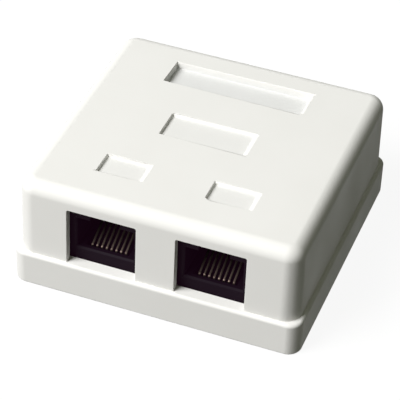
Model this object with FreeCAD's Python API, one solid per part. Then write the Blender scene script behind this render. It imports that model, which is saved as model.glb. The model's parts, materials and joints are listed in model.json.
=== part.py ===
import FreeCAD, Part
import math
import os

# Two-port surface mount jack box: a tray-shaped base that screws to a wall, a cover that lifts
# off it, and a circuit board that carries two 8-way modular jacks and two punch-down blocks.
# Millimetres, +Z away from the wall, ports facing -Y, origin under the middle of the base.

V = FreeCAD.Vector

# ---------------------------------------------------------------- driving dimensions
# case, outside
box_width = 60.0
box_depth = 58.4
box_height = 24.6
base_height = 7.6
base_corner_radius = 2.8
base_edge_round = 0.7
base_foot_bevel = 0.3
foot_inset = 0.8            # cover foot stands this far inside the base outline
cover_draft = 0.25          # lean of each cover wall from its foot to the top
cover_corner_radius = 3.6
cover_edge_round = 2.8

# case, inside
base_wall = 2.0
base_floor = 2.0
cover_wall = 1.6
cover_top = 2.0
inner_edge_bevel = 1.2

# port windows
port_spacing = 22.5
window_width = 14.4
window_lap = 0.45           # upper edge of the window below the top of the jack
window_corner_radius = 0.4

# recesses in the top: width, length, sink and the centre's place along Y
label_recess_width = 30.2
label_recess_length = 7.4
label_recess_sink = 1.6
label_recess_y = 17.65
badge_recess_width = 18.5
badge_recess_length = 7.4
badge_recess_sink = 0.7
badge_recess_y = 0.35
icon_recess_width = 9.7
icon_recess_length = 5.7
icon_recess_sink = 0.7
icon_recess_y = -16.25
recess_draft = 0.12         # lean of three recess walls
recess_slope = 1.0          # run of the sloped wall at the +X end
recess_backing = 1.6        # pad inside the cover, round and under the deep recess

# board and what carries it
board_thickness = 1.6
board_width = 39.0
board_back_y = 12.5
standoff_size = 3.4
standoff_side_inset = 2.6   # standoff centres from the board's side edges
standoff_back_inset = 2.2   # rear standoffs from the board's back edge
standoff_jack_gap = 2.6     # front standoffs behind the jacks
boss_radius = 2.7
peg_radius = 0.9
peg_tip = 0.8               # locating peg above the board
fit_clearance = 0.1         # pegs, tabs and housings beside what locates them
pin_hole_clearance = 0.15

# board screws
screw_radius = 1.1
screw_tip_floor = 1.8       # floor left under the tips of the screws
screw_head_radius = 2.3
screw_head_height = 1.5
screw_slot_width = 0.6
screw_slot_depth = 0.8
screw_front_y = -18.0
screw_rear_y = 5.0
thread_clearance = 0.05

# modular jack housing
jack_width = 15.3
jack_depth = 16.0
jack_height = 13.5
jack_setback = 0.6          # jack face behind the inside of the cover's front wall
jack_overhang = 1.0         # jack face in front of the board edge
jack_headroom = 1.7         # top of the housing below the cover's ceiling
plug_width = 11.9
plug_height = 6.9
plug_floor = 3.0            # underside of the housing to the floor of the plug opening
plug_depth = 13.4
latch_width = 6.4
latch_height = 1.5
key_width = 3.4
key_height = 0.8
lip_thickness = 1.2
jack_peg_radius = 1.6
jack_peg_spacing = 11.4
jack_peg_setback = 6.5
jack_mouth_chamfer = 0.4

# spring contacts and the carrier that holds them
contact_count = 8
contact_pitch = 1.016
contact_width = 0.46
contact_thickness = 0.3
contact_bend = 0.45
contact_rise = 5.4          # free end above the run under the carrier
tail_row_spacing = 2.54
tail_row_inset = 0.9        # front tail row before the housing's rear wall
tail_length = 1.0           # tail below the board
trough_floor = 0.8          # housing floor under the contacts
trough_side = 0.4           # side room beside the outer contacts
tail_room = 1.0             # slot for the tails, in front of the front tail row
carrier_ledge = 0.45        # ledge above the trough floor on which the carrier lies
carrier_thickness = 0.95
carrier_side = 0.35         # carrier past the trough on each side
carrier_nose = 1.7          # carrier behind the lip
carrier_block_depth = 2.9
carrier_block_height = 6.4
carrier_slot_depth = 3.0    # rear slots in which the contacts' free ends rest

# punch-down blocks
idc_width = 16.5
idc_depth = 11.0
idc_height = 11.0
idc_back_margin = 4.0       # board left behind the blocks, for the locating pegs
idc_ways = 4
idc_pitch = 3.9
idc_slot_width = 1.1
idc_slot_depth = 6.2
idc_spine = 1.8
idc_slot_mouth = 0.5        # bevel at the top of each wire slot
terminal_width = 2.4
terminal_thickness = 0.4
terminal_top_drop = 1.6     # fork tips below the top of the block
terminal_slit = 0.5
terminal_slit_depth = 4.0
terminal_foot = 1.2         # fork plate above the board
terminal_pin_width = 0.6

# snap arms of the base and their catches in the cover
snap_y = 11.0
snap_width = 6.0
snap_thickness = 1.3
snap_rise = 9.6             # arm tip above the base rim
snap_barb = 0.35
snap_barb_height = 2.2
catch_depth = 0.6
catch_side_room = 0.5

# locating tabs inside the cover walls
tab_thickness = 1.1
tab_rise = 2.0
side_tab_width = 7.0
side_tab_y = 20.0
front_tab_width = 5.0
rear_tab_width = 8.0
rear_tab_x = 14.0

# sill under each port
sill_side = 0.6             # sill past the window on each side

# wall fixing and cable way
slot_spacing = 47.6
slot_width = 4.2
slot_length = 5.8
slot_y = 0.0
entry_width = 14.0
entry_length = 8.0
entry_y = 21.2
entry_corner_radius = 1.5
anchor_x = 14.0
anchor_y = 20.0
anchor_width = 7.0
anchor_depth = 3.0
anchor_height = 3.6
anchor_eye_width = 4.2
anchor_eye_height = 1.8
breakout_width = 12.0
breakout_height = 7.0
breakout_skin = 0.5
hold_down_gap = 0.2         # ribs under the cover above each jack
hold_down_thickness = 1.2
hold_down_length = 11.0
hold_down_spacing = 8.0
hold_down_inset = 1.0       # ribs' rear ends in front of the back of the jack

# cutting bodies run on this far past the faces that they cut
cut_lead = 1.0

# ---------------------------------------------------------------- derived places
half_width = box_width / 2
half_depth = box_depth / 2
foot_x = half_width - foot_inset
foot_y = half_depth - foot_inset
inner_x = foot_x - cover_wall
inner_y = foot_y - cover_wall
ceiling_z = box_height - cover_top
jack_top = ceiling_z - jack_headroom
board_top = jack_top - jack_height
board_bottom = board_top - board_thickness
window_top = jack_top - window_lap
jack_front = -inner_y + jack_setback
jack_back = jack_front + jack_depth
board_front_y = jack_front + jack_overhang
plug_floor_z = board_top + plug_floor
plug_back_y = jack_front + plug_depth
trough_z = board_top + trough_floor
carrier_z = trough_z + carrier_ledge
trough_front = jack_front + lip_thickness
trough_width = (contact_count - 1) * contact_pitch + contact_width + 2 * trough_side
carrier_width = trough_width + 2 * carrier_side - 2 * fit_clearance
idc_y = board_back_y - idc_back_margin - idc_depth / 2
ports = {"left": -port_spacing / 2, "right": port_spacing / 2}
tail_row_front = plug_back_y - tail_row_inset


# ---------------------------------------------------------------- helpers
def span(centre, size):
    return (centre - size / 2, centre + size / 2)


def block(x, y, z):
    """Block between a low and a high value along each axis."""
    return Part.makeBox(x[1] - x[0], y[1] - y[0], z[1] - z[0], V(x[0], y[0], z[0]))


def post(radius, x, y, z):
    return Part.makeCylinder(radius, z[1] - z[0], V(x, y, z[0]))


def drilled(radius, x, y, z):
    """Small hole with eight flats, whose flats stand `radius` from its axis."""
    reach = radius / math.cos(math.pi / 8)
    corners = [V(x + reach * math.cos((index + 0.5) * math.pi / 4),
                 y + reach * math.sin((index + 0.5) * math.pi / 4), z[0]) for index in range(8)]
    return Part.Face(Part.makePolygon(corners + corners[:1])).extrude(V(0, 0, z[1] - z[0]))


def rounded_outline(half_x, half_y, radius, z):
    """Closed wire of a rectangle with round corners, centred on the Z axis."""
    corners = [(1, 1, 0), (-1, 1, 90), (-1, -1, 180), (1, -1, 270)]
    arcs = []
    for sign_x, sign_y, start in corners:
        centre = V(sign_x * (half_x - radius), sign_y * (half_y - radius), z)
        arcs.append(Part.makeCircle(radius, centre, V(0, 0, 1), start, start + 90))
    edges = []
    for arc, following in zip(arcs, arcs[1:] + arcs[:1]):
        end = arc.valueAt(arc.LastParameter)
        start = following.valueAt(following.FirstParameter)
        edges += [arc, Part.makeLine(end, start)]
    return Part.Wire(edges)


def leaning_block(half_x, half_y, radius, z, lean):
    """Round-cornered block whose walls lean in by `lean` between the heights in z."""
    foot = rounded_outline(half_x, half_y, radius, z[0])
    head = rounded_outline(half_x - lean, half_y - lean, radius - lean, z[1])
    return Part.makeLoft([foot, head], True, True)


def straight_block(half_x, half_y, radius, z):
    outline = rounded_outline(half_x, half_y, radius, z[0])
    return Part.Face(outline).extrude(V(0, 0, z[1] - z[0]))


def edges_at_height(shape, z):
    level = [e for e in shape.Edges
             if abs(e.BoundBox.ZMin - z) < 0.001 and abs(e.BoundBox.ZMax - z) < 0.001]
    return level


def polygon_prism(points, place, along):
    """Prism of a closed polygon of (a, b) points, set in space by place(a, b)."""
    corners = [place(a, b) for a, b in points]
    return Part.Face(Part.makePolygon(corners + corners[:1])).extrude(along)


def cut_all(shape, tools):
    return shape.cut(Part.makeCompound(tools))


def join_all(shapes):
    return shapes[0].multiFuse(shapes[1:]).removeSplitter()


def mirrored(shape):
    return shape.mirror(V(0, 0, 0), V(1, 0, 0))


def both_sides(shapes):
    return shapes + [mirrored(shape) for shape in shapes]


def moved(shape, x=0.0, y=0.0, z=0.0):
    copy = shape.copy()
    copy.translate(V(x, y, z))
    return copy


# ---------------------------------------------------------------- base
def base_tray():
    tray = straight_block(half_width, half_depth, base_corner_radius, (0, base_height))
    tray = tray.makeFillet(base_edge_round, edges_at_height(tray, base_height))
    tray = tray.makeChamfer(base_foot_bevel, edges_at_height(tray, 0))
    hollow = straight_block(half_width - base_wall, half_depth - base_wall,
                            base_corner_radius - base_wall, (base_floor, base_height + cut_lead))
    return tray.cut(hollow)


def snap_arm():
    """Springy hook on the +X side, drawn pressed in just clear of the cover wall."""
    tip = base_height + snap_rise
    nose = inner_x - cover_draft * snap_rise / (box_height - base_height) - fit_clearance
    outside = nose - snap_barb
    inside = outside - snap_thickness
    barb = tip - snap_barb_height
    profile = [(inside, base_floor), (outside, base_floor), (outside, barb),
               (nose, barb + snap_barb), (nose, barb + 2 * snap_barb), (outside - snap_barb, tip),
               (inside, tip)]
    return polygon_prism(profile, lambda x, z: V(x, snap_y - snap_width / 2, z),
                         V(0, snap_width, 0))


def locating_tab(width):
    """Tab for the +X wall at y = 0: inside the cover wall above the rim, joined to the tray."""
    outside = inner_x - fit_clearance
    tab = block((outside - tab_thickness, outside), span(0, width),
                (base_floor, base_height + tab_rise))
    web = block((outside, half_width - base_wall), span(0, width), (base_floor, base_height))
    return join_all([tab, web])


def cross_tab(width, x, sign):
    """The same tab for the front (sign -1) or rear (sign +1) wall."""
    outside = sign * (inner_y - fit_clearance)
    inside = outside - sign * tab_thickness
    wall = sign * (half_depth - base_wall)
    tab = block(span(x, width), (min(outside, inside), max(outside, inside)),
                (base_floor, base_height + tab_rise))
    web = block(span(x, width), (min(outside, wall), max(outside, wall)),
                (base_floor, base_height))
    return join_all([tab, web])


def sill(x):
    """Ledge that closes the foot of a port between the tray's front wall and the jack."""
    return block(span(x, window_width + 2 * sill_side),
                 (-half_depth + base_wall / 2, jack_front - fit_clearance),
                 (base_floor / 2, base_height))


def cable_anchor():
    """Loop on the floor for a cable tie."""
    loop = block(span(anchor_x, anchor_width), span(anchor_y, anchor_depth),
                 (base_floor, base_floor + anchor_height))
    eye = block(span(anchor_x, anchor_eye_width), span(anchor_y, anchor_depth + cut_lead),
                (base_floor, base_floor + anchor_eye_height))
    return loop.cut(eye)


def standoff_places():
    """Rear and front standoff on the +X side; the rear one has a locating peg."""
    x = board_width / 2 - standoff_side_inset
    return [(x, board_back_y - standoff_back_inset), (x, jack_back + standoff_jack_gap)]


def make_base():
    solids = [base_tray()]
    arm = snap_arm()
    tab = locating_tab(side_tab_width)
    solids += both_sides([arm, moved(arm, y=-2 * snap_y),
                          moved(tab, y=side_tab_y), moved(tab, y=-side_tab_y)])
    solids.append(cross_tab(front_tab_width, 0, -1))
    solids += both_sides([cross_tab(rear_tab_width, rear_tab_x, 1)])
    solids += [sill(x) for x in ports.values()]
    solids += both_sides([cable_anchor()])
    for x, y in standoff_places():
        solids += both_sides([block(span(x, standoff_size), span(y, standoff_size),
                                    (base_floor / 2, board_bottom))])
    x, y = standoff_places()[0]
    solids += both_sides([post(peg_radius, x, y, (base_floor, board_top + peg_tip))])
    for y in (screw_front_y, screw_rear_y):
        solids.append(post(boss_radius, 0, y, (base_floor / 2, board_bottom)))
    base = join_all(solids)

    cuts = []
    pilot_bottom = screw_tip_floor - thread_clearance
    for y in (screw_front_y, screw_rear_y):
        cuts.append(drilled(screw_radius + thread_clearance, 0, y, (pilot_bottom, board_top)))
    slot = straight_block(slot_length / 2, slot_width / 2, slot_width / 2 - 0.001,
                          (-cut_lead, base_floor + cut_lead))
    cuts += both_sides([moved(slot, x=slot_spacing / 2, y=slot_y)])
    entry = straight_block(entry_width / 2, entry_length / 2, entry_corner_radius,
                           (-cut_lead, base_floor + cut_lead))
    cuts.append(moved(entry, y=entry_y))
    return cut_all(base, cuts)


# ---------------------------------------------------------------- cover
def cover_shell():
    outer = leaning_block(foot_x, foot_y, cover_corner_radius, (base_height, box_height),
                          cover_draft)
    outer = outer.makeFillet(cover_edge_round, edges_at_height(outer, box_height))
    inner_lean = cover_draft * (ceiling_z - base_height) / (box_height - base_height)
    inner = leaning_block(inner_x, inner_y, cover_corner_radius - cover_wall,
                          (base_height, ceiling_z), inner_lean)
    inner = inner.makeChamfer(inner_edge_bevel, edges_at_height(inner, ceiling_z))
    return outer.cut(inner)


def port_window(x):
    """Notch through the front wall, open at the foot, with small round upper corners."""
    left, right = span(x, window_width)
    r = window_corner_radius
    bottom, top = base_height - cut_lead, window_top
    diagonal = r * (1 - math.sqrt(0.5))
    y = -half_depth - cut_lead

    def at(px, pz):
        return V(px, y, pz)

    outline = Part.Wire([
        Part.makeLine(at(left, bottom), at(left, top - r)),
        Part.Arc(at(left, top - r), at(left + diagonal, top - diagonal),
                 at(left + r, top)).toShape(),
        Part.makeLine(at(left + r, top), at(right - r, top)),
        Part.Arc(at(right - r, top), at(right - diagonal, top - diagonal),
                 at(right, top - r)).toShape(),
        Part.makeLine(at(right, top - r), at(right, bottom)),
        Part.makeLine(at(right, bottom), at(left, bottom))])
    depth = foot_inset + cover_wall + cover_draft + 2 * cut_lead
    return Part.Face(outline).extrude(V(0, depth, 0))


def top_recess(width, length, sink, x, y):
    """Pocket in the top with three steep walls and one sloped wall at its +X end."""
    def rectangle(left, right, front, back, z):
        corners = [V(left, front, z), V(right, front, z), V(right, back, z), V(left, back, z)]
        return Part.makePolygon(corners + corners[:1])

    left, right = span(x, width)
    front, back = span(y, length)
    grow = recess_draft * cut_lead / sink
    slope = recess_slope * cut_lead / sink
    floor = rectangle(left + recess_draft, right - recess_slope, front + recess_draft,
                      back - recess_draft, box_height - sink)
    mouth = rectangle(left - grow, right + slope, front - grow, back + grow,
                      box_height + cut_lead)
    return Part.makeLoft([floor, mouth], True, True)


def catch_pocket():
    """Blind pocket in the +X wall behind the barb of a snap arm."""
    tip = base_height + snap_rise
    wall = inner_x - cover_draft * snap_rise / (box_height - base_height)
    return block((wall - cut_lead, wall + catch_depth),
                 span(snap_y, snap_width + 2 * catch_side_room),
                 (tip - snap_barb_height - snap_barb / 2, tip + snap_barb))


def hold_down_rib(x, side):
    """Rib under the top that stops a jack from lifting."""
    return block(span(x + side * hold_down_spacing / 2, hold_down_thickness),
                 (jack_back - hold_down_inset - hold_down_length, jack_back - hold_down_inset),
                 (jack_top + hold_down_gap, ceiling_z + cover_top / 2))


def make_cover():
    pad = block(span(0, label_recess_width + 2 * recess_backing),
                span(label_recess_y, label_recess_length + 2 * recess_backing),
                (ceiling_z - recess_backing, ceiling_z + cover_top / 4))
    ribs = [hold_down_rib(x, side) for x in ports.values() for side in (-1, 1)]
    cover = join_all([cover_shell(), pad] + ribs)

    cuts = [port_window(x) for x in ports.values()]
    cuts.append(top_recess(label_recess_width, label_recess_length, label_recess_sink,
                           0, label_recess_y))
    cuts.append(top_recess(badge_recess_width, badge_recess_length, badge_recess_sink,
                           0, badge_recess_y))
    for x in ports.values():
        cuts.append(top_recess(icon_recess_width, icon_recess_length, icon_recess_sink,
                               x, icon_recess_y))
    pocket = catch_pocket()
    cuts += both_sides([pocket, moved(pocket, y=-2 * snap_y)])
    cuts.append(block(span(0, breakout_width),
                      (inner_y - cut_lead, foot_y - cover_draft - breakout_skin),
                      (base_height - cut_lead, base_height + breakout_height)))
    return cut_all(cover, cuts)


# ---------------------------------------------------------------- circuit board
def tail_places(x):
    """Board holes of one jack: alternate contacts end in alternate rows."""
    places = []
    for index in range(contact_count):
        row = tail_row_front + (index % 2) * tail_row_spacing
        places.append((x + (index - (contact_count - 1) / 2) * contact_pitch, row))
    return places


def terminal_places(x):
    """Centres of one punch-down block's forks, front row first."""
    row_offset = (idc_depth + idc_spine) / 4
    places = []
    for row in (-1, 1):
        for way in range(idc_ways):
            places.append((x + (way - (idc_ways - 1) / 2) * idc_pitch, idc_y + row * row_offset))
    return places


def make_board():
    board = block(span(0, board_width), (board_front_y, board_back_y), (board_bottom, board_top))
    through = (board_bottom - cut_lead, board_top + cut_lead)
    holes = []
    for x in ports.values():
        tail_radius = math.hypot(contact_width, contact_thickness) / 2 + pin_hole_clearance
        holes += [drilled(tail_radius, px, py, through) for px, py in tail_places(x)]
        pin_radius = math.hypot(terminal_pin_width, terminal_thickness) / 2 + pin_hole_clearance
        holes += [drilled(pin_radius, px, py, through) for px, py in terminal_places(x)]
        for side in (-1, 1):
            holes.append(drilled(jack_peg_radius + fit_clearance, x + side * jack_peg_spacing / 2,
                                 jack_front + jack_peg_setback, through))
    for y in (screw_front_y, screw_rear_y):
        holes.append(drilled(screw_radius + 2 * fit_clearance, 0, y, through))
    x, y = standoff_places()[0]
    holes += both_sides([drilled(peg_radius + fit_clearance, x, y, through)])
    return cut_all(board, holes)


def make_board_screws():
    screws = []
    for y in (screw_front_y, screw_rear_y):
        head = post(screw_head_radius, 0, y, (board_top, board_top + screw_head_height))
        rim = edges_at_height(head, board_top + screw_head_height)
        head = head.makeChamfer(screw_head_height / 2, rim)
        shank = post(screw_radius, 0, y, (screw_tip_floor, board_top))
        slot_z = (board_top + screw_head_height - screw_slot_depth, board_top + screw_head_height)
        slot = block(span(0, screw_slot_width), span(y, 2 * screw_head_radius + cut_lead), slot_z)
        screws.append(join_all([head, shank]).cut(slot))
    return Part.makeCompound(screws)


# ---------------------------------------------------------------- modular jack
def make_jack_housing(x):
    z0 = board_top
    body = block(span(x, jack_width), (jack_front, jack_back), (z0, jack_top))
    pegs = [post(jack_peg_radius, x + side * jack_peg_spacing / 2, jack_front + jack_peg_setback,
                 (board_bottom, z0 + trough_floor / 2)) for side in (-1, 1)]
    body = join_all([body] + pegs)
    roof = plug_floor_z + plug_height
    before, behind = jack_front - cut_lead, jack_back + cut_lead
    cuts = [block(span(x, plug_width), (before, plug_back_y), (plug_floor_z, roof)),
            block(span(x, latch_width), (before, plug_back_y), (roof - cut_lead, roof + latch_height)),
            block(span(x, key_width), (before, plug_back_y),
                  (roof, roof + latch_height + key_height)),
            block(span(x, trough_width), (trough_front, behind),
                  (trough_z, carrier_z + fit_clearance / 2)),
            block(span(x, trough_width + 2 * carrier_side), (trough_front, plug_back_y),
                  (carrier_z, plug_floor_z + cut_lead)),
            block(span(x, trough_width), (tail_row_front - tail_room, behind),
                  (z0 - cut_lead, carrier_z))]
    mouth = jack_mouth_chamfer
    bevel = Part.makeLoft([
        Part.makePolygon([V(x + sx * (plug_width / 2 + grow), y, plug_floor_z + pz)
                          for sx, pz in ((-1, -grow), (1, -grow), (1, plug_height + grow),
                                         (-1, plug_height + grow), (-1, -grow))])
        for grow, y in ((mouth, jack_front), (0, jack_front + mouth))], True, True)
    return cut_all(body, cuts + [bevel])


def make_carrier(x):
    """Comb-shaped insert: the contacts bend round its front edge and rest in its rear slots."""
    front = trough_front + carrier_nose
    block_front = plug_back_y - carrier_block_depth
    back = plug_back_y - fit_clearance
    plate = block(span(x, carrier_width), (front, back), (carrier_z, carrier_z + carrier_thickness))
    comb = block(span(x, carrier_width), (block_front, back),
                 (carrier_z, carrier_z + carrier_block_height))
    body = join_all([plate, comb])
    slots = []
    for px, _ in tail_places(x):
        slots.append(block(span(px, contact_width + 2 * fit_clearance),
                           (block_front - cut_lead, block_front + carrier_block_depth / 2),
                           (carrier_z + carrier_block_height - carrier_slot_depth,
                            carrier_z + carrier_block_height + cut_lead)))
    return cut_all(body, slots)


def bent_strip(points, bends, thickness, width, x):
    """Flat strip bent along a centre line of (y, z) points, `width` wide about x.

    `bends` holds the centre-line radius at each inner point; 0 makes a mitre.
    """
    def unit(p, q):
        length = math.hypot(q[0] - p[0], q[1] - p[1])
        return ((q[0] - p[0]) / length, (q[1] - p[1]) / length)

    def at(p, normal, distance):
        return V(x - width / 2, p[0] + normal[0] * distance, p[1] + normal[1] * distance)

    ways = [unit(p, q) for p, q in zip(points, points[1:])]
    left = [(-d[1], d[0]) for d in ways]
    sides = {1: [], -1: []}
    ends = {}
    for side in (1, -1):
        last = at(points[0], left[0], side * thickness / 2)
        ends[side] = [last]
        for index in range(1, len(points) - 1):
            before, after, bend = ways[index - 1], ways[index], bends[index - 1]
            if bend == 0:
                half_cos = (1 + before[0] * after[0] + before[1] * after[1])
                out = (left[index - 1][0] + left[index][0], left[index - 1][1] + left[index][1])
                mitre = at(points[index], out, side * thickness / 2 / half_cos)
                sides[side].append(Part.makeLine(last, mitre))
                last = mitre
                continue
            turn = before[0] * after[1] - before[1] * after[0]
            angle = math.atan2(turn, before[0] * after[0] + before[1] * after[1])
            tangent = bend * math.tan(abs(angle) / 2)
            inward = 1 if turn > 0 else -1
            enter = (points[index][0] - before[0] * tangent, points[index][1] - before[1] * tangent)
            leave = (points[index][0] + after[0] * tangent, points[index][1] + after[1] * tangent)
            centre = (enter[0] + left[index - 1][0] * inward * bend,
                      enter[1] + left[index - 1][1] * inward * bend)
            radius = bend - side * inward * thickness / 2
            toward = unit(centre, points[index])
            start = at(enter, left[index - 1], side * thickness / 2)
            finish = at(leave, left[index], side * thickness / 2)
            sides[side].append(Part.makeLine(last, start))
            sides[side].append(Part.Arc(start, at(centre, toward, radius), finish).toShape())
            last = finish
        tip = at(points[-1], left[-1], side * thickness / 2)
        sides[side].append(Part.makeLine(last, tip))
        ends[side].append(tip)
    caps = [Part.makeLine(ends[1][0], ends[-1][0]), Part.makeLine(ends[1][1], ends[-1][1])]
    outline = Part.Wire(Part.__sortEdges__(sides[1] + sides[-1] + caps))
    return Part.Face(outline).extrude(V(width, 0, 0))


def make_contact(x, tail_y):
    """Spring contact: tail, run under the carrier, bend round its nose, slant to the rear."""
    run_z = trough_z + contact_thickness / 2 + fit_clearance / 2
    nose_y = trough_front + carrier_nose - 2.5 * contact_thickness
    over_z = carrier_z + carrier_thickness + contact_thickness
    comb_y = plug_back_y - carrier_block_depth + carrier_block_depth / 4
    path = [(tail_y, board_bottom - tail_length), (tail_y, run_z), (nose_y, run_z),
            (nose_y, over_z), (comb_y, run_z + contact_rise)]
    bends = [0, contact_bend, contact_bend]
    return bent_strip(path, bends, contact_thickness, contact_width, x)


# ---------------------------------------------------------------- punch-down block
def make_idc_block(x):
    z0 = board_top
    top = z0 + idc_height
    body = block(span(x, idc_width), span(idc_y, idc_depth), (z0, top))
    half = idc_depth / 2
    cuts = []
    for px, py in terminal_places(x):
        row = -1 if py < idc_y else 1
        near, far = idc_y + row * idc_spine / 2, idc_y + row * (half + cut_lead)
        reach = (min(near, far), max(near, far))
        cuts.append(block(span(px, idc_slot_width), reach, (top - idc_slot_depth, top + cut_lead)))
        bevel = idc_slot_mouth
        wedge = [(px - idc_slot_width / 2, top - bevel), (px + idc_slot_width / 2, top - bevel),
                 (px + idc_slot_width / 2 + 2 * bevel, top + bevel),
                 (px - idc_slot_width / 2 - 2 * bevel, top + bevel)]
        cuts.append(polygon_prism(wedge, lambda a, b, y=reach[0]: V(a, y, b),
                                  V(0, reach[1] - reach[0], 0)))
        cuts.append(block(span(px, terminal_width + fit_clearance),
                          span(py, terminal_thickness + fit_clearance),
                          (z0 - cut_lead, top - terminal_top_drop + fit_clearance)))
    return cut_all(body, cuts)


def make_terminal(x, y):
    """Forked plate that cuts into a wire, with a pin through the board."""
    foot = board_top + terminal_foot
    tip = board_top + idc_height - terminal_top_drop
    slit = tip - terminal_slit_depth
    half, gap, pin = terminal_width / 2, terminal_slit / 2, terminal_pin_width / 2
    bottom = board_bottom - tail_length
    profile = [(-pin, bottom), (pin, bottom), (pin, foot), (half, foot), (half, tip - gap),
               (half - gap, tip), (2 * gap, tip), (gap, tip - gap), (gap, slit), (-gap, slit),
               (-gap, tip - gap), (-2 * gap, tip), (-half + gap, tip), (-half, tip - gap),
               (-half, foot), (-pin, foot)]
    return polygon_prism(profile, lambda a, b: V(x + a, y - terminal_thickness / 2, b),
                         V(0, terminal_thickness, 0))


# ---------------------------------------------------------------- all parts
def make_parts():
    parts = {"base": make_base(), "cover": make_cover(), "circuit_board": make_board(),
             "board_screws": make_board_screws()}
    for side, x in ports.items():
        parts[f"jack_housing_{side}"] = make_jack_housing(x)
        parts[f"contact_carrier_{side}"] = make_carrier(x)
        for number, (px, py) in enumerate(tail_places(x), start=1):
            parts[f"contact_{side}_{number}"] = make_contact(px, py)
        parts[f"idc_block_{side}"] = make_idc_block(x)
        for number, (px, py) in enumerate(terminal_places(x), start=1):
            parts[f"idc_terminal_{side}_{number}"] = make_terminal(px, py)
    return parts


os.makedirs("parts", exist_ok=True)
for name, shape in make_parts().items():
    shape.exportStep(f"parts/{name}.step")
    print(f"{name}: {len(shape.Solids)} solid(s), {shape.Volume:.1f} mm3, valid {shape.isValid()}")
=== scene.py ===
# %% [markdown]
# # A two-port surface mount jack box
# The box is a white moulded cover on a white tray, with two black modular jacks behind windows in
# its front wall. Inside are a circuit board, spring contacts and punch-down blocks for the wires.
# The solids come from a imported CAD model, and this script gives them their looks. It is laid out
# as a lesson: each step first says what the piece is and why it is made in that way.

# %% Load the frame
import json
import math

import bmesh
import bpy
from mathutils import Matrix, Vector

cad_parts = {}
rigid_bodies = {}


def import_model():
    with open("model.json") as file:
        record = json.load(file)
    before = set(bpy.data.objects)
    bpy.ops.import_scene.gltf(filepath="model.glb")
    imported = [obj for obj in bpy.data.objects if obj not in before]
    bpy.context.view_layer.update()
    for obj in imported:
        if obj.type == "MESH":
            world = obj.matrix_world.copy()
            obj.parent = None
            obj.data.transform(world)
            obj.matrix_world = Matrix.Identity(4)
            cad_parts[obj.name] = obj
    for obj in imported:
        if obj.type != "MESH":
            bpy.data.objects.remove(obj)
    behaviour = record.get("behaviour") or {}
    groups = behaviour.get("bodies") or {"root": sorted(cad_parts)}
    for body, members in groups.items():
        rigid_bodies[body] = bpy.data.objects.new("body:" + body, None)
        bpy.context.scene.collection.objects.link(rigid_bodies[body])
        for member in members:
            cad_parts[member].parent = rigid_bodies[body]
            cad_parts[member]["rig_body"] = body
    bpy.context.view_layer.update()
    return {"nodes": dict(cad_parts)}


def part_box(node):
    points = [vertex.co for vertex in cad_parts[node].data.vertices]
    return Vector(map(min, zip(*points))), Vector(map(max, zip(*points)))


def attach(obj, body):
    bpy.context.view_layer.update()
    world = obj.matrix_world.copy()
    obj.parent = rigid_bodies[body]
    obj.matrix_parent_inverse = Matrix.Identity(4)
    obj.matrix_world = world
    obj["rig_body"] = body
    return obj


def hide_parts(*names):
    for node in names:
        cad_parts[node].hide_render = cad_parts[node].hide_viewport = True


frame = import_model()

nodes = frame["nodes"]
scene = bpy.context.scene
MM = 0.001
print("nodes in the frame:", len(nodes))

# %% [markdown]
# ## Looking at the box
# A long lens from well above and to the right shows the top, the ports and the right-hand side.
# The camera is placed by two angles and a distance, and a small roll levels it as a hand-held
# camera would be. Its axes are built from the angles, because then the same three numbers also
# say which way is up in the picture.

# %% The camera
view_azimuth = math.radians(19.371)
view_elevation = math.radians(38.808)
view_roll = math.radians(2.318)
view_distance = 0.399574
view_offset = (0.000929, -0.006216)     # picture centre from the box's origin, right and up
lens_mm = 173.69

back = Vector((math.sin(view_azimuth) * math.cos(view_elevation),
               -math.cos(view_azimuth) * math.cos(view_elevation), math.sin(view_elevation)))
level = Vector((math.cos(view_azimuth), math.sin(view_azimuth), 0))
upright = back.cross(level)
right = math.cos(view_roll) * level + math.sin(view_roll) * upright
up = -math.sin(view_roll) * level + math.cos(view_roll) * upright

camera_data = bpy.data.cameras.new("camera")
camera_data.lens = lens_mm
camera_data.sensor_width = 36
camera_data.clip_start = 0.01
camera = bpy.data.objects.new("camera", camera_data)
scene.collection.objects.link(camera)
place = view_distance * back - view_offset[0] * right - view_offset[1] * up
camera.matrix_world = Matrix.Translation(place) @ Matrix((right, up, back)).transposed().to_4x4()
scene.camera = camera
scene.view_settings.view_transform = "Standard"
print("camera stands", round(view_distance, 3), "m from the box")

# %% [markdown]
# ## The ground and the air round it
# The box stands on a white table. A real white table would throw light back up onto the walls of
# the box and wash out their shade. So the table's material asks what kind of ray has reached it:
# the camera and mirror reflections see white with a faint shadow, and bounced light sees a dark
# surface. The air does the same. The table lies a hair below the box, so the two never fight.

# %% Node helpers
def new_material(name):
    """A material with an empty node tree but its output; returns the material and the tree."""
    material = bpy.data.materials.new(name)
    material.use_nodes = True
    material.node_tree.nodes.clear()
    return material, material.node_tree


def add(tree, kind, **values):
    """A node of that kind. Each value goes to the input of that name, or to the property."""
    node = tree.nodes.new(kind)
    for name, value in values.items():
        label = name.replace("_", " ")
        if label in node.inputs:
            node.inputs[label].default_value = value
        else:
            setattr(node, name, value)
    return node


def join(tree, source, target):
    """Links an output socket to an input socket."""
    tree.links.new(source, target)


def math_node(tree, operation, first, second):
    """Math node on two values, each a socket or a number; returns its output."""
    node = add(tree, "ShaderNodeMath", operation=operation)
    for index, value in enumerate((first, second)):
        if isinstance(value, (int, float)):
            node.inputs[index].default_value = value
        else:
            join(tree, value, node.inputs[index])
    return node.outputs[0]


def background_ray(tree):
    """1 for a ray from the camera, off a mirror or through glass, and 0 for bounced light."""
    path = add(tree, "ShaderNodeLightPath")
    mirrored = math_node(tree, "MAXIMUM", path.outputs["Is Glossy Ray"],
                         path.outputs["Is Transmission Ray"])
    return math_node(tree, "MAXIMUM", path.outputs["Is Camera Ray"], mirrored)


print("node helpers ready")

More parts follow.
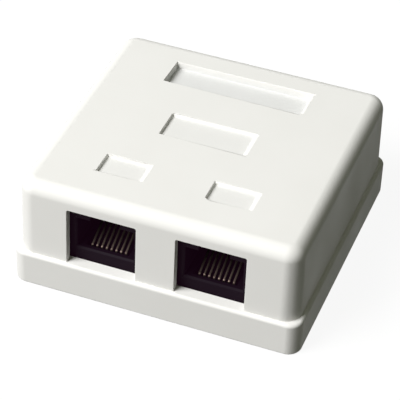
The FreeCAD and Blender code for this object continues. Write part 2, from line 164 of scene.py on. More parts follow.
# %% The table
def table_material():
    material, tree = new_material("white_table")
    output = add(tree, "ShaderNodeOutputMaterial")
    faint_shadow = add(tree, "ShaderNodeBsdfDiffuse", Color=(0.10, 0.10, 0.10, 1))
    glow = add(tree, "ShaderNodeEmission", Color=(1, 1, 1, 1), Strength=0.92)
    seen = add(tree, "ShaderNodeAddShader")
    unseen = add(tree, "ShaderNodeBsdfDiffuse", Color=(0.09, 0.09, 0.085, 1))
    choice = add(tree, "ShaderNodeMixShader")
    join(tree, faint_shadow.outputs[0], seen.inputs[0])
    join(tree, glow.outputs[0], seen.inputs[1])
    join(tree, background_ray(tree), choice.inputs[0])
    join(tree, unseen.outputs[0], choice.inputs[1])
    join(tree, seen.outputs[0], choice.inputs[2])
    join(tree, choice.outputs[0], output.inputs["Surface"])
    return material


table_half = 3.0
table_drop = 0.02 * MM
table_mesh = bpy.data.meshes.new("table")
table_mesh.from_pydata([(-table_half, -table_half, 0), (table_half, -table_half, 0),
                        (table_half, table_half, 0), (-table_half, table_half, 0)],
                       [], [(0, 1, 2, 3)])
table_mesh.materials.append(table_material())
table = bpy.data.objects.new("table", table_mesh)
table.location.z = -table_drop
scene.collection.objects.link(table)
print("table", 2 * table_half, "m wide")

# %% The air
world = bpy.data.worlds.new("studio")
scene.world = world
world.use_nodes = True
air = world.node_tree
air.nodes.clear()
air_output = add(air, "ShaderNodeOutputWorld")
air_dim = add(air, "ShaderNodeBackground", Color=(0.935, 1.0, 0.68, 1), Strength=0.095)
air_white = add(air, "ShaderNodeBackground", Color=(1, 1, 1, 1), Strength=1.0)
air_choice = add(air, "ShaderNodeMixShader")
join(air, background_ray(air), air_choice.inputs[0])
join(air, air_dim.outputs[0], air_choice.inputs[1])
join(air, air_white.outputs[0], air_choice.inputs[2])
join(air, air_choice.outputs[0], air_output.inputs["Surface"])
print("air strength", round(air_dim.inputs["Strength"].default_value, 3))

# %% [markdown]
# ## Lamps
# One big soft lamp stands high up, to the left and in front, so that the top is brightest, the
# front is a shade darker and the right-hand side falls into shadow. A lamp's power is worked out
# from the light that it should put on the top, so that a surface renders about as it is painted.

# %% The key lamp
def area_lamp(name, direction, distance, size, top_share):
    """Square lamp aimed at the box. `top_share` is what it adds to a white surface facing up."""
    direction = Vector(direction).normalized()
    data = bpy.data.lights.new(name, "AREA")
    data.shape = "SQUARE"
    data.size = size
    # a small square lamp of power W gives W / (pi * distance^2) * slope on a level surface
    data.energy = top_share * math.pi * math.pi * distance ** 2 / direction.z
    lamp = bpy.data.objects.new(name, data)
    lamp.location = direction * distance
    lamp.rotation_euler = direction.to_track_quat("Z", "Y").to_euler()
    scene.collection.objects.link(lamp)
    print(name, round(data.energy, 2), "W")
    return lamp


area_lamp("key", (-0.50, -0.50, 0.70), 1.5, 0.9, 1.09)

# %% [markdown]
# ## Moulded plastic
# A moulding takes the skin of its steel mould: a very fine spark-eroded grain, and over it slow
# waves where the plastic shrank. Both are far too small to model, so they are a height that a
# Bump node turns into shading. All the plastics share them, with their own values, so they are
# made once as a node group. It puts out the height, and a slow mask that varies colour and gloss.
# The cover's colour is painted a shade darker in its recesses, as painted shade: white walls that
# face each other throw light to and fro and would wash them out. The black plastic has a trace of
# painted purple glow, which stands for the light that wanders inside a socket and is too faint to
# trace.

# %% Shader groups
def new_group(name, inputs, outputs):
    """Shader node group with float inputs {name: default} and outputs {name: socket type}."""
    group = bpy.data.node_groups.new(name, "ShaderNodeTree")
    group.interface.new_socket(name="Vector", in_out="INPUT", socket_type="NodeSocketVector")
    for label, value in inputs.items():
        socket = group.interface.new_socket(name=label, in_out="INPUT",
                                            socket_type="NodeSocketFloat")
        socket.default_value = value
    for label, kind in outputs.items():
        group.interface.new_socket(name=label, in_out="OUTPUT", socket_type=kind)
    return group, group.nodes.new("NodeGroupInput"), group.nodes.new("NodeGroupOutput")


def scaled_noise(tree, vector, scale, detail, roughness=0.5):
    """Noise of that many cycles a metre; returns its value socket."""
    noise = add(tree, "ShaderNodeTexNoise", Scale=scale, Detail=detail, Roughness=roughness)
    join(tree, vector, noise.inputs["Vector"])
    return noise.outputs["Fac"]


def build_moulded_skin():
    group, given, result = new_group("moulded_skin", {"Grain": 1.0, "Waves": 1.0},
                                     {"Height": "NodeSocketFloat", "Mask": "NodeSocketFloat"})
    vector = given.outputs["Vector"]
    fine = scaled_noise(group, vector, 5200.0, 4.0, 0.62)
    pits = scaled_noise(group, vector, 1700.0, 2.0)
    slow = scaled_noise(group, vector, 70.0, 2.0)
    grain = math_node(group, "ADD", math_node(group, "MULTIPLY", fine, 0.6),
                      math_node(group, "MULTIPLY", pits, 0.4))
    height = math_node(group, "ADD", math_node(group, "MULTIPLY", grain, given.outputs["Grain"]),
                       math_node(group, "MULTIPLY", slow, given.outputs["Waves"]))
    join(group, height, result.inputs["Height"])
    join(group, slow, result.inputs["Mask"])
    return group


moulded_skin = build_moulded_skin()
print("group", moulded_skin.name, "with", len(moulded_skin.nodes), "nodes")

# %% The plastic material
def place_group(tree, group, **values):
    """The group in a material, fed with Object coordinates."""
    node = tree.nodes.new("ShaderNodeGroup")
    node.node_tree = group
    for name, value in values.items():
        node.inputs[name].default_value = value
    coordinates = add(tree, "ShaderNodeTexCoord")
    join(tree, coordinates.outputs["Object"], node.inputs["Vector"])
    return node


def mixed_colour(tree, mask, first, second):
    """Colour between two colours by a mask; returns its output."""
    mix = tree.nodes.new("ShaderNodeMix")
    mix.data_type = "RGBA"
    mix.inputs["A"].default_value = (*first, 1)
    mix.inputs["B"].default_value = (*second, 1)
    join(tree, mask, mix.inputs["Factor"])
    return mix.outputs["Result"]


def ranged(tree, value, low, high, to_low, to_high):
    """Map Range from low..high to to_low..to_high, clamped; returns its output."""
    node = add(tree, "ShaderNodeMapRange")
    for name, number in (("From Min", low), ("From Max", high),
                         ("To Min", to_low), ("To Max", to_high)):
        node.inputs[name].default_value = number
    join(tree, value, node.inputs["Value"])
    return node.outputs["Result"]


# Painted shade in the cover's recesses: where it is full, where it ends, how far it reaches, its
# tone.
shade_full = 1.5 * MM                   # below the top of the cover: the shade is full
shade_none = 0.4 * MM                   # and here it ends
shade_limit = 1.8 * MM                  # under this nothing is shaded
shade_reach = (("X", 17.0 * MM), ("Y", 22.0 * MM))
painted_shade_tone = (0.89, 0.90, 0.915, 1)


def paint_recess_shade(tree, colour):
    """Painted shade: darkens a colour a little in the recesses of the cover, told by Object
    coordinates.
    """
    coordinates = add(tree, "ShaderNodeTexCoord")
    place = add(tree, "ShaderNodeSeparateXYZ")
    join(tree, coordinates.outputs["Object"], place.inputs[0])
    sunk = ranged(tree, place.outputs["Z"], cover_top - shade_full, cover_top - shade_none,
                  1, 0)
    above = math_node(tree, "GREATER_THAN", place.outputs["Z"], cover_top - shade_limit)
    mask = math_node(tree, "MULTIPLY", sunk, above)
    for axis, reach in shade_reach:
        within = math_node(tree, "LESS_THAN",
                           math_node(tree, "ABSOLUTE", place.outputs[axis], 0.0), reach)
        mask = math_node(tree, "MULTIPLY", mask, within)
    shade = tree.nodes.new("ShaderNodeMix")
    shade.data_type = "RGBA"
    shade.blend_type = "MULTIPLY"
    shade.inputs["B"].default_value = painted_shade_tone
    join(tree, mask, shade.inputs["Factor"])
    join(tree, colour, shade.inputs["A"])
    return shade.outputs["Result"]


def plastic(name, colour, tint, roughness, specular, grain_depth, wave_share=2.0,
            with_painted_recess_shade=False, painted_glow=(0, 0, 0)):
    """Moulded plastic: two near colours, a roughness range, a fine grain, and if asked painted
    recess shade or painted glow.
    """
    material, tree = new_material(name)
    output = add(tree, "ShaderNodeOutputMaterial")
    surface = add(tree, "ShaderNodeBsdfPrincipled", Specular_IOR_Level=specular,
                  Emission_Color=(*painted_glow, 1), Emission_Strength=1.0 if any(painted_glow) else 0.0)
    skin = place_group(tree, moulded_skin, Grain=1.0, Waves=wave_share)
    tone = mixed_colour(tree, ranged(tree, skin.outputs["Mask"], 0.35, 0.65, 0, 1),
                        colour, tint)
    join(tree, paint_recess_shade(tree, tone) if with_painted_recess_shade else tone, surface.inputs["Base Color"])
    join(tree, ranged(tree, skin.outputs["Mask"], 0.35, 0.65, *roughness),
         surface.inputs["Roughness"])
    bump = add(tree, "ShaderNodeBump", Strength=0.5, Distance=grain_depth)
    join(tree, skin.outputs["Height"], bump.inputs["Height"])
    join(tree, bump.outputs["Normal"], surface.inputs["Normal"])
    join(tree, surface.outputs[0], output.inputs["Surface"])
    return material


cover_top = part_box("cover")[1].z
white = ((0.815, 0.806, 0.786), (0.800, 0.791, 0.769), (0.48, 0.56), 0.08, 0.012 * MM)
white_abs = plastic("white_abs", *white)
white_cover = plastic("white_cover", *white, with_painted_recess_shade=True)
# The black plastic's faint purple emission is painted glow for the light inside the sockets.
black_jack = plastic("black_jack", (0.0050, 0.0030, 0.0055), (0.0035, 0.0020, 0.0040),
                     (0.50, 0.62), 0.05, 0.010 * MM, painted_glow=(0.0050, 0.0010, 0.0036))
print("plastics:", white_abs.name, black_jack.name)

# %% [markdown]
# ## Softened edges
# No moulded edge is perfectly sharp. The CAD solids leave the smallest roundings out, so each
# plastic piece is shown by a copy of its solid with a hair of a bevel along its sharp edges. The
# rims of the recesses in the top are rounder, as the light band along them shows.
# The copy is made in bmesh: weld the loose triangles, join those in one plane, then bevel only
# edges that turn by more than 30 degrees, because the rest are facets of round faces.

# %% Softened copy
weld_distance = 0.0005 * MM
flat_angle = math.radians(0.4)          # faces that turn less are one flat face
sharp_angle = math.radians(30)          # edges that turn more get a bevel
split_angle = math.radians(32)          # edges that turn more stay sharp in the shading


def welded(node_name):
    """bmesh of a CAD node with its triangles welded and its flat faces joined."""
    mesh = bmesh.new()
    mesh.from_mesh(nodes[node_name].data)
    bmesh.ops.remove_doubles(mesh, verts=mesh.verts, dist=weld_distance)
    bmesh.ops.dissolve_limit(mesh, angle_limit=flat_angle, verts=mesh.verts,
                             edges=mesh.edges)
    return mesh


def evaluated_mesh(piece):
    """The piece's mesh with its modifiers worked out, as a mesh of its own."""
    graph = bpy.context.evaluated_depsgraph_get()
    return bpy.data.meshes.new_from_object(piece.evaluated_get(graph), depsgraph=graph,
                                           preserve_all_data_layers=True)


def finished(mesh, name, material):
    """Object from a bmesh: smooth faces, split at sharp edges, with big faces kept flat."""
    data = bpy.data.meshes.new(name)
    mesh.to_mesh(data)
    mesh.free()
    data.shade_smooth()
    data.set_sharp_from_angle(angle=split_angle)
    data.materials.append(material)
    piece = bpy.data.objects.new(name, data)
    scene.collection.objects.link(piece)
    weighted = piece.modifiers.new("weighted", "WEIGHTED_NORMAL")
    weighted.keep_sharp = True
    shaded = evaluated_mesh(piece)
    piece.modifiers.clear()
    piece.data = shaded
    shaded.name = name
    return piece


def bevel_sharp(mesh, width_mm, segments, chosen=None):
    """Bevels the edges that turn by more than 30 degrees, or only the chosen ones of them."""
    sharp = [edge for edge in mesh.edges
             if len(edge.link_faces) == 2 and edge.calc_face_angle(0) > sharp_angle
             and (chosen is None or chosen(edge))]
    bmesh.ops.bevel(mesh, geom=sharp, offset=width_mm * MM, segments=segments, profile=0.5,
                    affect="EDGES", clamp_overlap=False)


def keep_in_box(mesh, node_name):
    """Moves back the few points that a bevel throws out of the node's box at a corner."""
    low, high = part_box(node_name)
    for vertex in mesh.verts:
        vertex.co = [min(max(place, start), end)
                     for place, start, end in zip(vertex.co, low, high)]


def softened(node_name, name, material, bevel_mm, segments=2, wide=None):
    """Copy of a CAD node with soft edges, riding on the node's body in its place.

    `wide` may hold a bevel width and a test for the edges that get it first.
    """
    mesh = welded(node_name)
    if wide:
        bevel_sharp(mesh, wide[0], segments, wide[1])
    bevel_sharp(mesh, bevel_mm, segments)
    keep_in_box(mesh, node_name)
    piece = finished(mesh, name, material)
    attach(piece, nodes[node_name]["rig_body"])
    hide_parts(node_name)
    print(name, len(piece.data.polygons), "faces")
    return piece


def recess_rim(edge):
    """True for a front or rear edge where the flat top turns down into a recess."""
    on_top = all(cover_top - vertex.co.z < 0.01 * MM for vertex in edge.verts)
    return on_top and abs(edge.verts[0].co.y - edge.verts[1].co.y) < 0.01 * MM


softened("cover", "cover_skin", white_cover, 0.12, 3,
         wide=(0.35, recess_rim))
softened("base", "base_skin", white_abs, 0.12, 3)


# %% [markdown]
# ## Sockets and punch-down blocks
# The same softened copy serves the black jack housings with their contact carriers, and the
# ivory punch-down blocks. The bevel gets smaller with the piece, since a wide one would eat
# the thin walls between the wire slots.

# %% Jacks, carriers and blocks
ivory_block = plastic("ivory_block", (0.80, 0.77, 0.66), (0.77, 0.74, 0.62),
                      (0.42, 0.52), 0.35, 0.010 * MM)
for side in ("left", "right"):
    softened(f"jack_housing_{side}", f"jack_shell_{side}", black_jack, 0.08)
    softened(f"contact_carrier_{side}", f"carrier_{side}", black_jack, 0.05, 1)
    softened(f"idc_block_{side}", f"idc_{side}", ivory_block, 0.08, 1)

# %% [markdown]
# ## Metals
# The jack contacts are gold plated, the forks of the punch-down blocks are tin plated and the
# screws are zinc plated. The contacts' gold is painted far darker than plating, as painted shade
# for the dark inside of the sockets. Plating is never even: a slow mask varies the gloss, and a
# stretched noise leaves fine rolling lines along the strip, so the reflection breaks up.

# %% Metal materials
def build_rolled_metal():
    group, given, result = new_group("rolled_metal", {"Lines": 1.0},
                                     {"Height": "NodeSocketFloat", "Mask": "NodeSocketFloat"})
    stretched = add(group, "ShaderNodeMapping", Scale=(9.0, 1.0, 1.0))
    join(group, given.outputs["Vector"], stretched.inputs["Vector"])
    lines = scaled_noise(group, stretched.outputs["Vector"], 1500.0, 3.0, 0.6)
    specks = scaled_noise(group, given.outputs["Vector"], 2600.0, 2.0)
    height = math_node(group, "ADD",
                       math_node(group, "MULTIPLY", lines, given.outputs["Lines"]),
                       math_node(group, "MULTIPLY", specks, 0.4))
    join(group, height, result.inputs["Height"])
    join(group, scaled_noise(group, given.outputs["Vector"], 420.0, 2.0), result.inputs["Mask"])
    return group


rolled_metal = build_rolled_metal()


def metal(name, colour, tint, roughness, depth):
    """Plated metal: two near colours, a roughness range and fine rolling lines."""
    material, tree = new_material(name)
    output = add(tree, "ShaderNodeOutputMaterial")
    surface = add(tree, "ShaderNodeBsdfPrincipled", Metallic=1.0)
    skin = place_group(tree, rolled_metal, Lines=1.0)
    patchy = ranged(tree, skin.outputs["Mask"], 0.38, 0.62, 0, 1)
    join(tree, mixed_colour(tree, patchy, colour, tint), surface.inputs["Base Color"])
    join(tree, ranged(tree, skin.outputs["Mask"], 0.38, 0.62, *roughness),
         surface.inputs["Roughness"])
    bump = add(tree, "ShaderNodeBump", Strength=0.5, Distance=depth)
    join(tree, skin.outputs["Height"], bump.inputs["Height"])
    join(tree, bump.outputs["Normal"], surface.inputs["Normal"])
    join(tree, surface.outputs[0], output.inputs["Surface"])
    return material


# Painted shade: the contacts' gold is far darker than plating, for the dark inside of the sockets.
contact_gold = metal("contact_gold", (0.100, 0.074, 0.062), (0.068, 0.050, 0.043),
                     (0.40, 0.55), 0.004 * MM)
terminal_tin = metal("terminal_tin", (0.66, 0.66, 0.65), (0.55, 0.55, 0.55),
                     (0.28, 0.42), 0.004 * MM)
screw_zinc = metal("screw_zinc", (0.62, 0.63, 0.65), (0.52, 0.53, 0.56),
                   (0.26, 0.40), 0.005 * MM)

# %% [markdown]
# ## Growing what repeats
# A jack has eight wires of one shape, a block has eight forks, and a board has many lines of
# one width. Geometry Nodes suits them: a short start mesh says what one is like, the node
# tree repeats or sweeps it, and named inputs hold the count, the pitch and the width. The
# tree is built here in Python. Its result is taken off as a plain mesh, so nothing stays live.

# %% Geometry Nodes helpers
FLOAT, WHOLE = "NodeSocketFloat", "NodeSocketInt"


def geometry_group(name, inputs):
    """Geometry node group with the given {input: socket type}; returns tree and its ends."""
    group = bpy.data.node_groups.new(name, "GeometryNodeTree")
    group.interface.new_socket(name="Geometry", in_out="INPUT",
                               socket_type="NodeSocketGeometry")
    group.interface.new_socket(name="Material", in_out="INPUT",
                               socket_type="NodeSocketMaterial")
    for label, kind in inputs.items():
        group.interface.new_socket(name=label, in_out="INPUT", socket_type=kind)
    group.interface.new_socket(name="Geometry", in_out="OUTPUT",
                               socket_type="NodeSocketGeometry")
    return group, group.nodes.new("NodeGroupInput"), group.nodes.new("NodeGroupOutput")


def finish_group(group, given, result, geometry):
    """Realize Instances and Set Material, the end of every tree here."""
    real = add(group, "GeometryNodeRealizeInstances")
    painted = add(group, "GeometryNodeSetMaterial")
    join(group, geometry, real.inputs["Geometry"])
    join(group, real.outputs["Geometry"], painted.inputs["Geometry"])
    join(group, given.outputs["Material"], painted.inputs["Material"])
    join(group, painted.outputs["Geometry"], result.inputs["Geometry"])


def swept(group, curve, width, height, corner):
    """Curve swept with a rectangle whose corners are rounded; inputs are sockets."""
    profile = add(group, "GeometryNodeCurvePrimitiveQuadrilateral", mode="RECTANGLE")
    join(group, width, profile.inputs["Width"])
    join(group, height, profile.inputs["Height"])
    rounded = add(group, "GeometryNodeFilletCurve", mode="POLY", Count=2)
    join(group, profile.outputs["Curve"], rounded.inputs["Curve"])
    join(group, corner, rounded.inputs["Radius"])
    sweep = add(group, "GeometryNodeCurveToMesh", Fill_Caps=True)
    join(group, curve, sweep.inputs["Curve"])
    join(group, rounded.outputs["Curve"], sweep.inputs["Profile Curve"])
    return sweep.outputs["Mesh"]


def wire_mesh(name, routes):
    """Mesh of edges only, one open line for each list of (x, y, z) points in millimetres."""
    points, edges = [], []
    for route in routes:
        edges += [(len(points) + i, len(points) + i + 1) for i in range(len(route) - 1)]
        points += [tuple(value * MM for value in point) for point in route]
    mesh = bpy.data.meshes.new(name)
    mesh.from_pydata(points, edges, [])
    return mesh


def grown(name, start, group, material, body, slot, sharp_angle=35, **values):
    """Plain mesh made by a node group from a start mesh, riding on a body."""
    piece = bpy.data.objects.new(name, start)
    scene.collection.objects.link(piece)
    modifier = piece.modifiers.new("grow", "NODES")
    modifier.node_group = group
    values["Material"] = material
    for item in group.interface.items_tree:
        if item.in_out == "INPUT" and item.name in values:
            modifier[item.identifier] = values[item.name]
    mesh = evaluated_mesh(piece)
    piece.modifiers.clear()
    piece.data = mesh
    mesh.name = name
    mesh.shade_smooth()
    mesh.set_sharp_from_angle(angle=math.radians(sharp_angle))
    bpy.data.meshes.remove(start)
    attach(piece, body)
    print(name, len(mesh.polygons), "faces")
    return piece


def centre_of(node_name):
    low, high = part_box(node_name)
    return [(a + b) / 2 / MM for a, b in zip(low, high)]


# %% [markdown]
# ## Spring contacts
# Each of the eight contacts is one gold-plated wire: it comes up through the board, runs forward
# under the carrier, bends round its front edge and slants up to the rear, where the plug meets
# it. Neighbours end in two staggered rows in the board, since the holes would otherwise touch.
# The tree repeats the line, moves every second tail back, rounds the bends and sweeps the wire.

# %% Contacts
def build_wire_row():
    group, given, result = geometry_group("wire_row", {
        "Count": WHOLE, "Pitch": FLOAT, "Width": FLOAT, "Thickness": FLOAT, "Corner": FLOAT,
        "Bend": FLOAT, "Tail from": FLOAT, "Stagger": FLOAT})
    line = add(group, "GeometryNodeMeshToCurve")
    join(group, given.outputs["Geometry"], line.inputs["Mesh"])
    row = add(group, "GeometryNodeMeshLine", mode="OFFSET")
    join(group, given.outputs["Count"], row.inputs["Count"])
    last = math_node(group, "SUBTRACT", given.outputs["Count"], 1.0)
    start_x = math_node(group, "MULTIPLY",
                        math_node(group, "MULTIPLY", last, given.outputs["Pitch"]), -0.5)
    start = add(group, "ShaderNodeCombineXYZ")
    step = add(group, "ShaderNodeCombineXYZ")
    join(group, start_x, start.inputs["X"])
    join(group, given.outputs["Pitch"], step.inputs["X"])
    join(group, start.outputs[0], row.inputs["Start Location"])
    join(group, step.outputs[0], row.inputs["Offset"])
    spread = add(group, "GeometryNodeInstanceOnPoints")
    join(group, row.outputs["Mesh"], spread.inputs["Points"])
    join(group, line.outputs["Curve"], spread.inputs["Instance"])
    number = add(group, "GeometryNodeStoreNamedAttribute", data_type="INT", domain="INSTANCE")
    number.inputs["Name"].default_value = "way"
    join(group, spread.outputs["Instances"], number.inputs["Geometry"])
    join(group, add(group, "GeometryNodeInputIndex").outputs[0], number.inputs["Value"])
    lines = add(group, "GeometryNodeRealizeInstances")
    join(group, number.outputs["Geometry"], lines.inputs["Geometry"])

    way = add(group, "GeometryNodeInputNamedAttribute", data_type="INT")
    way.inputs["Name"].default_value = "way"
    every_second = math_node(group, "MODULO", way.outputs["Attribute"], 2.0)
    shift = add(group, "ShaderNodeCombineXYZ")
    join(group, math_node(group, "MULTIPLY", every_second, given.outputs["Stagger"]),
         shift.inputs["Y"])
    split = add(group, "ShaderNodeSeparateXYZ")
    join(group, add(group, "GeometryNodeInputPosition").outputs[0], split.inputs[0])
    staggered = add(group, "GeometryNodeSetPosition")
    join(group, lines.outputs["Geometry"], staggered.inputs["Geometry"])
    join(group, math_node(group, "GREATER_THAN", split.outputs["Y"],
                          given.outputs["Tail from"]), staggered.inputs["Selection"])
    join(group, shift.outputs[0], staggered.inputs["Offset"])
    bent = add(group, "GeometryNodeFilletCurve", mode="POLY", Count=6)
    bent.inputs["Limit Radius"].default_value = True
    join(group, staggered.outputs["Geometry"], bent.inputs["Curve"])
    join(group, given.outputs["Bend"], bent.inputs["Radius"])
    finish_group(group, given, result, swept(group, bent.outputs["Curve"], given.outputs["Width"],
                                             given.outputs["Thickness"],
                                             given.outputs["Corner"]))
    return group


wire_row = build_wire_row()
contact_low, contact_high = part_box("contact_left_1")
contact_width = contact_high.x - contact_low.x
contact_pitch = (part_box("contact_left_2")[0].x - contact_low.x)
tail_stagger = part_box("contact_left_2")[1].y - contact_high.y
wire_thickness = 0.30 * MM
under_carrier = 0.25 * MM                   # the run lies this far under the carrier
front_rise = 1.25 * MM                      # height of the upright part above its underside
front_gap = 0.75 * MM                       # upright part in front of the carrier
slant_run = 8.875 * MM                      # length of the slope, towards the rear
slant_drop = 0.14 * MM                      # its end below the top of the solid
carrier_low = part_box("contact_carrier_left")[0]
run_z = carrier_low.z - under_carrier
over_z = carrier_low.z + front_rise
rest_y = contact_high.y - wire_thickness / 2
nose_y = carrier_low.y - front_gap
slant_top = (0, nose_y + slant_run, contact_high.z - slant_drop)
contact_route = [(0, rest_y, contact_low.z), (0, rest_y, run_z), (0, nose_y, run_z),
                 (0, nose_y, over_z), slant_top]
contact_route = [tuple(value / MM for value in point) for point in contact_route]
for side in ("left", "right"):
    names = sorted(name for name in nodes if name.startswith(f"contact_{side}_"))
    contacts = grown(f"contacts_{side}", wire_mesh("contact_route", [contact_route]), wire_row,
                     contact_gold, "base", "contact_gold", Count=len(names),
                     Pitch=contact_pitch, Width=contact_width, Thickness=wire_thickness,
                     Corner=0.08 * MM, Bend=0.45 * MM, Stagger=tail_stagger,
                     **{"Tail from": rest_y - 0.5 * MM})
    middle = centre_of(f"contact_carrier_{side}")[0] * MM
    contacts.data.transform(Matrix.Translation((middle, 0, 0)))
    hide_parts(*names)

# %% [markdown]
# ## Forks of the punch-down blocks
# A fork is a tin-plated plate with a narrow slit: a wire pushed into it loses its insulation and
# is gripped. One fork is drawn as an outline, given thickness and softened. The tree then sets
# it on the points of a grid, four ways wide and two rows deep.

# %% Forks
def build_fork_grid():
    group, given, result = geometry_group("fork_grid", {
        "Ways": WHOLE, "Rows": WHOLE, "Pitch": FLOAT, "Row spacing": FLOAT})
    grid = add(group, "GeometryNodeMeshGrid")
    join(group, given.outputs["Ways"], grid.inputs["Vertices X"])
    join(group, given.outputs["Rows"], grid.inputs["Vertices Y"])
    for count, pitch, size in (("Ways", "Pitch", "Size X"), ("Rows", "Row spacing", "Size Y")):
        gaps = math_node(group, "SUBTRACT", given.outputs[count], 1.0)
        join(group, math_node(group, "MULTIPLY", gaps, given.outputs[pitch]), grid.inputs[size])
    spread = add(group, "GeometryNodeInstanceOnPoints")
    join(group, grid.outputs["Mesh"], spread.inputs["Points"])
    join(group, given.outputs["Geometry"], spread.inputs["Instance"])
    finish_group(group, given, result, spread.outputs["Instances"])
    return group


fork_slit = 0.50 * MM
fork_slit_depth = 4.0 * MM
fork_pin = 0.60 * MM
fork_foot = 1.2 * MM                    # underside of the plate above the board


def fork_mesh(low, high):
    """One fork in the XZ plane, from the low and high corners of its CAD solid."""
    half, tip, bottom = (high.x - low.x) / 2, high.z, low.z
    gap, slit = fork_slit / 2, high.z - fork_slit_depth
    pin, foot = fork_pin / 2, board_top + fork_foot
    outline = [(-pin, bottom), (pin, bottom), (pin, foot), (half, foot), (half, tip - gap),
               (half - gap, tip), (2 * gap, tip), (gap, tip - gap), (gap, slit), (-gap, slit),
               (-gap, tip - gap), (-2 * gap, tip), (-half + gap, tip), (-half, tip - gap),
               (-half, foot), (-pin, foot)]
    thickness = high.y - low.y
    mesh = bmesh.new()
    face = mesh.faces.new([mesh.verts.new((x, -thickness / 2, z)) for x, z in outline])
    solid = bmesh.ops.extrude_face_region(mesh, geom=[face])
    moved_up = [item for item in solid["geom"] if isinstance(item, bmesh.types.BMVert)]
    bmesh.ops.translate(mesh, verts=moved_up, vec=(0, thickness, 0))
    bmesh.ops.recalc_face_normals(mesh, faces=mesh.faces)
    rims = [edge for edge in mesh.edges if abs(edge.verts[0].co.y - edge.verts[1].co.y) < 1e-7]
    bmesh.ops.bevel(mesh, geom=rims, offset=0.05 * MM, segments=1, profile=0.5,
                    affect="EDGES", clamp_overlap=False)
    data = bpy.data.meshes.new("fork")
    mesh.to_mesh(data)
    mesh.free()
    return data


board_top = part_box("circuit_board")[1].z
fork_grid = build_fork_grid()
fork_low, fork_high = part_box("idc_terminal_left_1")
fork_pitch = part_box("idc_terminal_left_2")[0].x - fork_low.x
fork_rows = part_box("idc_terminal_left_5")[0].y - fork_low.y
for side in ("left", "right"):
    names = sorted(name for name in nodes if name.startswith(f"idc_terminal_{side}_"))
    forks = grown(f"forks_{side}", fork_mesh(fork_low, fork_high), fork_grid, terminal_tin,
                  "base", "terminal_tin", Ways=4, Rows=2, Pitch=fork_pitch,
                  **{"Row spacing": fork_rows})
    middle = centre_of(f"idc_block_{side}")
    forks.data.transform(Matrix.Translation((middle[0] * MM, middle[1] * MM, 0)))
    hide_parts(*names)

# %% [markdown]
# ## The circuit board
# The board is glass cloth in resin under a green mask. The mask lies on the two faces only: the
# cut edges show the bare yellowish laminate. The material tells face from edge by the normal of
# the surface, and a faint square weave prints through the mask.

# %% Board material
def board_material():
    material, tree = new_material("board_green")
    output = add(tree, "ShaderNodeOutputMaterial")
    surface = add(tree, "ShaderNodeBsdfPrincipled", Specular_IOR_Level=0.5, Coat_Weight=0.25)
    coordinates = add(tree, "ShaderNodeTexCoord")
    place = add(tree, "ShaderNodeSeparateXYZ")
    join(tree, coordinates.outputs["Object"], place.inputs[0])
    facing = add(tree, "ShaderNodeSeparateXYZ")
    join(tree, coordinates.outputs["Normal"], facing.inputs[0])
    thread_frequency = 2 * math.pi / (0.5 * MM)
    threads = []
    for axis in "XY":
        angle = math_node(tree, "MULTIPLY", place.outputs[axis], thread_frequency)
        threads.append(math_node(tree, "SINE", angle, 0.0))
    weave = math_node(tree, "MULTIPLY", *threads)
    blotch = scaled_noise(tree, coordinates.outputs["Object"], 900.0, 3.0)
    mask_tone = math_node(tree, "ADD", math_node(tree, "MULTIPLY", weave, 0.25), blotch)
    mask_colour = mixed_colour(tree, ranged(tree, mask_tone, 0.2, 0.8, 0, 1),
                               (0.010, 0.085, 0.030), (0.016, 0.120, 0.045))
    edge_colour = mixed_colour(tree, blotch, (0.42, 0.40, 0.20), (0.55, 0.53, 0.30))
    on_face = math_node(tree, "GREATER_THAN",
                        math_node(tree, "ABSOLUTE", facing.outputs["Z"], 0.0), 0.5)
    both = tree.nodes.new("ShaderNodeMix")
    both.data_type = "RGBA"
    join(tree, on_face, both.inputs["Factor"])
    join(tree, edge_colour, both.inputs["A"])
    join(tree, mask_colour, both.inputs["B"])
    join(tree, both.outputs["Result"], surface.inputs["Base Color"])
    join(tree, ranged(tree, blotch, 0.3, 0.7, 0.22, 0.34), surface.inputs["Roughness"])
    bump = add(tree, "ShaderNodeBump", Strength=0.4, Distance=0.01 * MM)
    join(tree, weave, bump.inputs["Height"])
    join(tree, bump.outputs["Normal"], surface.inputs["Normal"])
    join(tree, surface.outputs[0], output.inputs["Surface"])
    return material


board_green = board_material()
softened("circuit_board", "board_skin", board_green, 0.06, 1)

# %% [markdown]
# ## Tracks and soldered pins
# Copper tracks join each contact to its fork. They show as low ridges under the mask. Front forks
# are met head on; the tracks to the rear row pass between the front pins, so no two cross. Under
# the board every pin stands in a cone of solder.

# %% Tracks
def build_track():
    group, given, result = geometry_group("track", {"Width": FLOAT, "Height": FLOAT,
                                                    "Corner": FLOAT, "Bend": FLOAT})
    line = add(group, "GeometryNodeMeshToCurve")
    join(group, given.outputs["Geometry"], line.inputs["Mesh"])
    bent = add(group, "GeometryNodeFilletCurve", mode="POLY", Count=4)
    bent.inputs["Limit Radius"].default_value = True
    join(group, line.outputs["Curve"], bent.inputs["Curve"])
    join(group, given.outputs["Bend"], bent.inputs["Radius"])
    finish_group(group, given, result, swept(group, bent.outputs["Curve"], given.outputs["Width"],
                                             given.outputs["Height"], given.outputs["Corner"]))
    return group


behind_jack = 9.0       # millimetres from the middle of a jack to where its tracks fan out
fan_length = 5.0        # how far back the fan reaches
swerve_start = 2.5      # a track to a rear pin turns in this far before it
swerve_end = 0.5


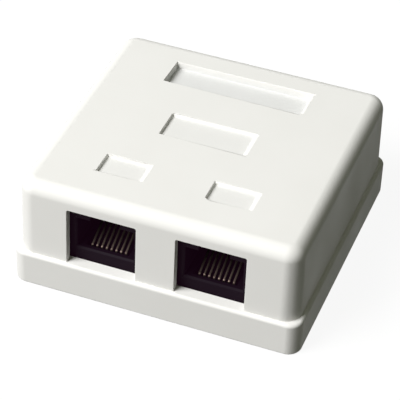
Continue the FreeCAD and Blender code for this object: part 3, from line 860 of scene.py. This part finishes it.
def track_routes(side):
    """Lines from the contact tails to the fork pins of one side, in millimetres."""
    z = board_top / MM
    lane_y = centre_of(f"jack_housing_{side}")[1] + behind_jack
    fan_y = lane_y + fan_length
    routes = []
    for number in range(1, 9):
        tail_x = centre_of(f"contact_{side}_{number}")[0]
        tail_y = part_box(f"contact_{side}_{number}")[1].y / MM
        rear = number % 2 == 0
        fork = centre_of(f"idc_terminal_{side}_{(number + 1) // 2 + (4 if rear else 0)}")
        lane_x = fork[0] + (fork_pitch / MM / 2 if rear else 0)
        route = [(tail_x, tail_y, z), (tail_x, lane_y, z), (lane_x, fan_y, z)]
        if rear:
            route += [(lane_x, fork[1] - swerve_start, z), (fork[0], fork[1] - swerve_end, z)]
        else:
            route.append((lane_x, fork[1], z))
        routes.append(route)
    return routes


track = build_track()
grown("tracks", wire_mesh("routes", track_routes("left") + track_routes("right")), track,
      board_green, "base", "board_green", Width=0.35 * MM, Height=0.08 * MM,
      Corner=0.02 * MM, Bend=0.6 * MM)

# %% Solder
def build_pin_solder():
    group, given, result = geometry_group("pin_solder", {"Radius": FLOAT, "Pin": FLOAT,
                                                         "Depth": FLOAT})
    cone = add(group, "GeometryNodeMeshCone", fill_type="NGON")
    cone.inputs["Vertices"].default_value = 14
    join(group, given.outputs["Pin"], cone.inputs["Radius Top"])
    join(group, given.outputs["Radius"], cone.inputs["Radius Bottom"])
    join(group, given.outputs["Depth"], cone.inputs["Depth"])
    spread = add(group, "GeometryNodeInstanceOnPoints")
    join(group, given.outputs["Geometry"], spread.inputs["Points"])
    join(group, cone.outputs["Mesh"], spread.inputs["Instance"])
    spread.inputs["Rotation"].default_value = (math.pi, 0, 0)
    finish_group(group, given, result, spread.outputs["Instances"])
    return group


pin_places = []
for side in ("left", "right"):
    for number in range(1, 9):
        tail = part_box(f"contact_{side}_{number}")
        pin_places.append(((tail[0].x + tail[1].x) / 2, tail[1].y - wire_thickness / 2))
        fork = centre_of(f"idc_terminal_{side}_{number}")
        pin_places.append((fork[0] * MM, fork[1] * MM))
board_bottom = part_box("circuit_board")[0].z
pin_points = bpy.data.meshes.new("pin_points")
pin_points.from_pydata([(x, y, board_bottom) for x, y in pin_places], [], [])
grown("solder", pin_points, build_pin_solder(), terminal_tin, "base", "terminal_tin",
      Radius=0.48 * MM, Pin=0.22 * MM, Depth=0.7 * MM)

# %% [markdown]
# ## Screws
# Two self-cutting screws hold the board down on its posts. The copy of each solid has softened
# edges, and the tree for the tracks sweeps a thread round the shank: its start mesh is a helix.

# %% Screws and thread
softened("board_screws", "screw_heads", screw_zinc, 0.08)


def helix(x, y, radius, low, high, pitch, steps=24):
    """Points of a thread round a vertical axis, in millimetres."""
    count = int((high - low) / pitch * steps)
    return [(x + radius * math.cos(2 * math.pi * i / steps),
             y + radius * math.sin(2 * math.pi * i / steps),
             low + (high - low) * i / count) for i in range(count + 1)]


screw_low, screw_high = (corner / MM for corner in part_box("board_screws"))
head_radius = screw_high.x
thread_routes = [helix(0, y, 1.08, screw_low.z + 0.3, board_top / MM - 1.7, 0.8)
                 for y in (screw_low.y + head_radius, screw_high.y - head_radius)]
grown("screw_thread", wire_mesh("helix", thread_routes), track, screw_zinc, "base", "screw_zinc",
      Width=0.16 * MM, Height=0.16 * MM, Corner=0.05 * MM, Bend=0.0)
